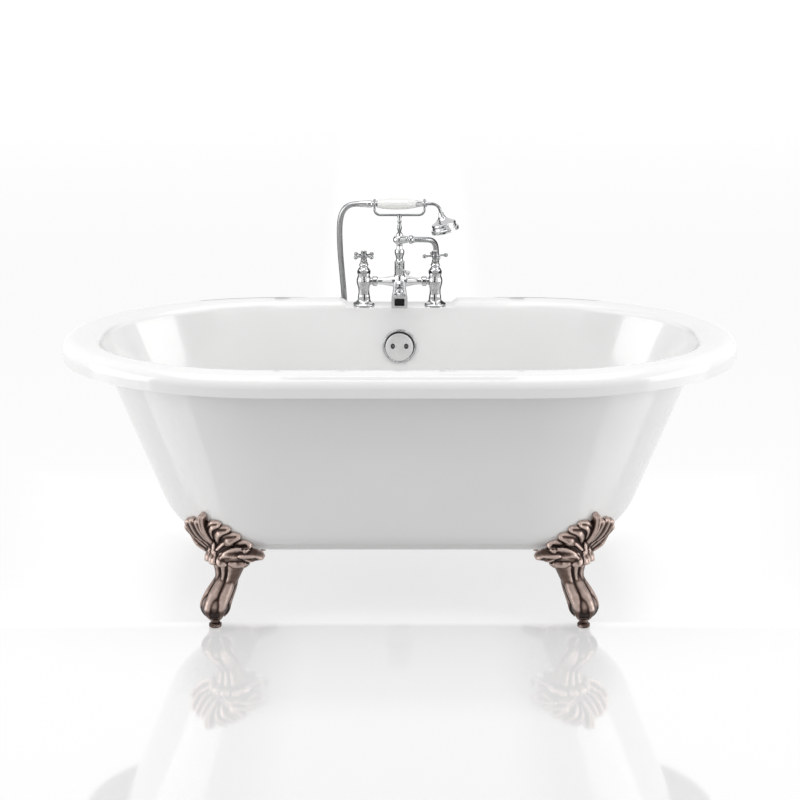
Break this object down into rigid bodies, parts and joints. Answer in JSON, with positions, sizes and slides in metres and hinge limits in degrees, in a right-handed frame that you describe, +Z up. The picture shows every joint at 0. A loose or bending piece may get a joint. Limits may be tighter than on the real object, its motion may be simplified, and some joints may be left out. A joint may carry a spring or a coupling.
{
  "type": "clawfoot bathtub",
  "caption": "Double-ended freestanding roll-top bathtub on claw-and-ball feet, with a rim-mounted bridge mixer, cradle hand shower and hose, waste and overflow.",
  "frame": {"origin": "on the floor, under the middle of the tub", "axes": "+X along the tub, +Y towards the side with the mixer, +Z up"},
  "size_m": [1.6, 0.7852, 0.9063],
  "materials": {
    "enamelled_iron": "gloss white enamel on cast iron",
    "antique_bronze": "cast iron with an antique rose-bronze finish, dark in its hollows",
    "pad_bronze": "satin, same antique bronze",
    "zinc_steel": "zinc plated",
    "chrome": "polished chrome on brass",
    "steel_screws": "polished stainless steel",
    "seal_rubber": "matt black rubber",
    "white_pipe": "white moulded waste pipe",
    "brass_inner": "machined brass",
    "porcelain": "glazed white porcelain",
    "steel_hose": "chromed spiral-wound metal hose"
  },
  "bodies": {
    "tub": {"bath_shell": "enamelled_iron", "claw_foot_front_left": "antique_bronze", "claw_foot_front_right": "antique_bronze", "claw_foot_back_left": "antique_bronze", "claw_foot_back_right": "antique_bronze", "levelling_lock_nuts": "zinc_steel", "foot_bolts": "zinc_steel", "foot_bolt_washers": "zinc_steel", "drain_flange": "chrome", "overflow_plate": "chrome", "hot_pillar": "chrome", "hot_headwork": "chrome", "cold_pillar": "chrome", "cold_headwork": "chrome", "bridge_and_spout": "chrome", "bridge_ring_nuts": "chrome", "diverter_column": "chrome", "hose_outlet": "chrome", "outlet_nut": "chrome", "cradle_post": "chrome", "cradle_yoke": "chrome", "overflow_screws": "steel_screws", "drain_gasket": "seal_rubber", "overflow_gasket": "seal_rubber", "pillar_seals": "seal_rubber", "drain_shoe": "white_pipe", "drain_pipe": "white_pipe", "waste_tee": "white_pipe", "slip_nuts": "white_pipe", "overflow_pipe": "white_pipe", "overflow_elbow": "white_pipe", "pillar_back_nuts": "brass_inner", "hose": "steel_hose"},
    "hot_handle": {"hot_spindle": "brass_inner", "hot_cross_head": "chrome", "hot_index_button": "porcelain"},
    "cold_handle": {"cold_spindle": "brass_inner", "cold_cross_head": "chrome", "cold_index_button": "porcelain"},
    "diverter": {"diverter_spindle": "brass_inner", "diverter_lever": "chrome"},
    "handset": {"handset_grip": "porcelain", "handset_tube": "chrome", "handset_collars": "chrome", "hose_ferrule": "chrome", "rose_bell": "chrome", "rose_face": "chrome"},
    "plug": {"drain_plug": "chrome", "drain_plug_seal": "seal_rubber"},
    "pad_front_left": {"levelling_pad_front_left": "pad_bronze"},
    "pad_front_right": {"levelling_pad_front_right": "pad_bronze"},
    "pad_back_left": {"levelling_pad_back_left": "pad_bronze"},
    "pad_back_right": {"levelling_pad_back_right": "pad_bronze"}
  },
  "joints": [
    {"name": "hot_handle_turn", "type": "hinge", "parent": "tub", "child": "hot_handle", "pos_m": [-0.09, 0.338, 0.76], "axis": [0, 0, 1], "range_deg": [0, 90]},
    {"name": "cold_handle_turn", "type": "hinge", "parent": "tub", "child": "cold_handle", "pos_m": [0.09, 0.338, 0.76], "axis": [0, 0, 1], "range_deg": [0, 90]},
    {"name": "diverter_turn", "type": "hinge", "parent": "tub", "child": "diverter", "pos_m": [0, 0.338, 0.7335], "axis": [0, 1, 0], "range_deg": [0, 90]},
    {"name": "handset_lift", "type": "slide", "parent": "tub", "child": "handset", "axis": [0, 0, 1], "range_m": [0, 0.06]},
    {"name": "plug_lift", "type": "slide", "parent": "tub", "child": "plug", "axis": [0, 0, 1], "range_m": [0, 0.009]},
    {"name": "pad_front_left_screw", "type": "slide", "parent": "tub", "child": "pad_front_left", "axis": [0, 0, 1], "range_m": [-0.015, 0]},
    {"name": "pad_front_right_screw", "type": "slide", "parent": "tub", "child": "pad_front_right", "axis": [0, 0, 1], "range_m": [-0.015, 0]},
    {"name": "pad_back_left_screw", "type": "slide", "parent": "tub", "child": "pad_back_left", "axis": [0, 0, 1], "range_m": [-0.015, 0]},
    {"name": "pad_back_right_screw", "type": "slide", "parent": "tub", "child": "pad_back_right", "axis": [0, 0, 1], "range_m": [-0.015, 0]}
  ]
}
